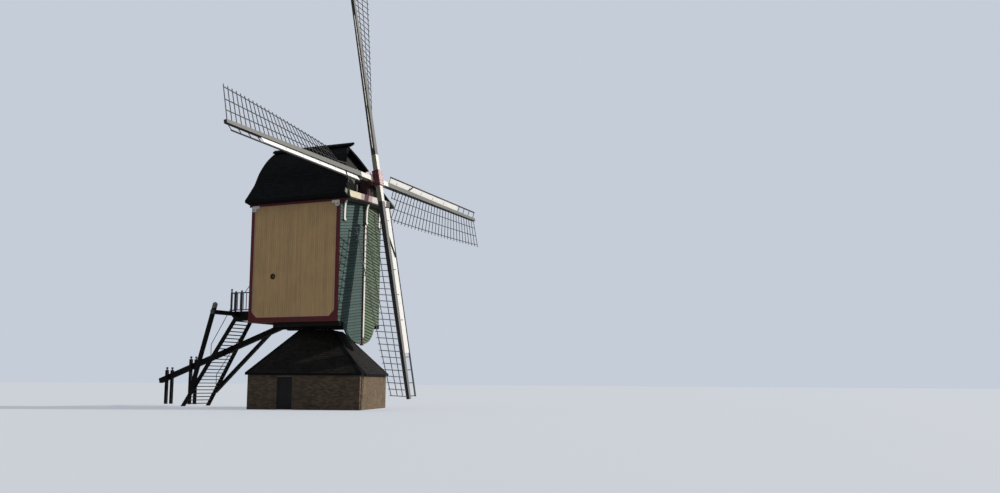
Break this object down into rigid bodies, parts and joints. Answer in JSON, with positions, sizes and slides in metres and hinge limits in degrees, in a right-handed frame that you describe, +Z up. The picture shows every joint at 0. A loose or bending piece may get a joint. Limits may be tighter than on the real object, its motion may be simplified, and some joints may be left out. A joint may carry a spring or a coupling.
{
  "type": "post windmill",
  "caption": "Post windmill: a boarded body with curved black roof turns on a post over a brick base, with lattice sails, tail pole, stair and a hinged base door.",
  "frame": {"origin": "on the axis of the main post, at ground level", "axes": "+X is the front, where the sails are, +Y is the mill's left seen from the rear, +Z is up"},
  "size_m": [18.6392, 25.9866, 26.0956],
  "materials": {
    "brick": "rough",
    "roof_felt": "matte",
    "oak": "rough sawn",
    "tarred_timber": "matte tar",
    "iron": "painted matte",
    "door_paint": "painted satin",
    "ochre_boards": "painted matte",
    "green_boards": "painted matte",
    "red_trim": "painted satin",
    "white_paint": "painted satin",
    "poll_red": "painted satin",
    "stock_paint": "painted matte"
  },
  "bodies": {
    "base": {"base_wall_front_left": "brick", "base_wall_front_right": "brick", "base_wall_right": "brick", "base_wall_left": "brick", "base_wall_back": "brick", "base_lintel": "brick", "door_pintles": "iron", "base_roof": "roof_felt", "piers": "brick", "post": "oak", "trestle": "oak"},
    "base_door": {"base_door": "door_paint"},
    "mill_body": {"floor_frame": "tarred_timber", "floor": "oak", "crown_tree": "oak", "tail_beam": "oak", "side_wall_near": "ochre_boards", "side_wall_far": "ochre_boards", "rear_wall": "ochre_boards", "rear_door": "door_paint", "front_wall": "green_boards", "centre_batten": "white_paint", "corner_trim": "red_trim", "roof_near": "roof_felt", "roof_far": "roof_felt", "ridge_cap": "roof_felt", "front_beam": "white_paint", "neck_block": "red_trim", "front_gable": "tarred_timber", "consoles": "white_paint", "cross_beam": "tarred_timber", "platform": "tarred_timber", "stair_stringers": "tarred_timber", "stair_treads": "tarred_timber", "tail_pole": "tarred_timber", "tail_struts": "tarred_timber", "tail_posts": "tarred_timber", "side_railings": "tarred_timber", "end_railings": "tarred_timber", "handrails": "iron"},
    "sail_cross": {"windshaft": "iron", "poll_end": "poll_red", "stock_outer": "stock_paint", "stock_inner": "stock_paint", "lattice_upper": "tarred_timber", "windboards_upper": "white_paint", "lattice_left": "tarred_timber", "windboards_left": "white_paint", "lattice_lower": "tarred_timber", "windboards_lower": "white_paint", "lattice_right": "tarred_timber", "windboards_right": "white_paint"}
  },
  "joints": [
    {"name": "base_door_hinge", "type": "hinge", "parent": "base", "child": "base_door", "pos_m": [-0.41879, -3.52926, 0.9], "axis": [0, 0, -1], "range_deg": [0, 100]},
    {"name": "body_yaw", "type": "hinge", "parent": "base", "child": "mill_body", "pos_m": [0, 0, 8], "axis": [0, 0, 1], "continuous": true},
    {"name": "sail_turn", "type": "hinge", "parent": "mill_body", "child": "sail_cross", "pos_m": [3.675, 0, 13.353], "axis": [0.9792, 0, 0.2028], "continuous": true}
  ]
}
